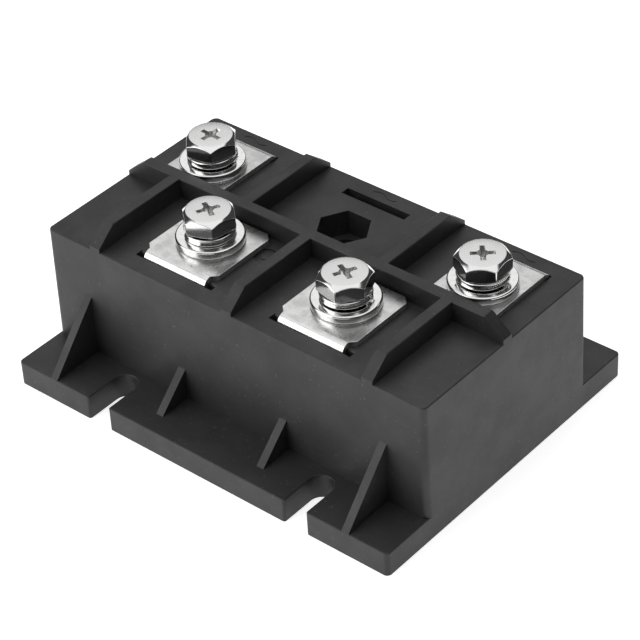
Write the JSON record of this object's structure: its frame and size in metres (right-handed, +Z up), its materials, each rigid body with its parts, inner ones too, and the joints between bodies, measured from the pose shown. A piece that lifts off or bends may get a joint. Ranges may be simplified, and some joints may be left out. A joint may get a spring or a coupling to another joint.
{
  "type": "bridge rectifier module",
  "caption": "Screw-terminal bridge rectifier block with a moulded housing, barrier ribs, notched mounting flanges and a flat base plate.",
  "frame": {"origin": "centre of the underside, on the face that rests on the heat sink", "axes": "+X along the module's length, +Y from the front terminal row to the back row, +Z up out of the deck"},
  "size_m": [0.0914, 0.071, 0.0385],
  "materials": {
    "moulded_plastic": "black glass-filled polyester, fine moulded texture",
    "plated_copper": "copper strip plated with satin nickel",
    "screw_steel": "steel with bright nickel plating",
    "washer_steel": "steel with bright nickel plating",
    "zinc_steel": "zinc plated steel",
    "plate_metal": "nickel plated, milled flat",
    "ceramic": "fired alumina, matte",
    "copper": "bare copper with a tin-silver solder bloom",
    "silicon": "passivated silicon chip",
    "resin": "cast dark epoxy, smooth"
  },
  "bodies": {
    "root": {"housing": "moulded_plastic", "base_plate": "plate_metal", "substrate": "ceramic", "potting": "resin", "track_ac_left": "copper", "track_ac_right": "copper", "track_negative": "copper", "track_positive": "copper", "diode_1": "silicon", "diode_2": "silicon", "diode_3": "silicon", "diode_4": "silicon", "clip_1": "copper", "clip_2": "copper", "clip_3": "copper", "clip_4": "copper", "terminal_ac_left": "plated_copper", "nut_ac_left": "zinc_steel", "screw_ac_left": "screw_steel", "spring_washer_ac_left": "washer_steel", "flat_washer_ac_left": "washer_steel", "terminal_ac_right": "plated_copper", "nut_ac_right": "zinc_steel", "screw_ac_right": "screw_steel", "spring_washer_ac_right": "washer_steel", "flat_washer_ac_right": "washer_steel", "terminal_negative": "plated_copper", "nut_negative": "zinc_steel", "screw_negative": "screw_steel", "spring_washer_negative": "washer_steel", "flat_washer_negative": "washer_steel", "terminal_positive": "plated_copper", "nut_positive": "zinc_steel", "screw_positive": "screw_steel", "spring_washer_positive": "washer_steel", "flat_washer_positive": "washer_steel"}
  },
  "joints": []
}
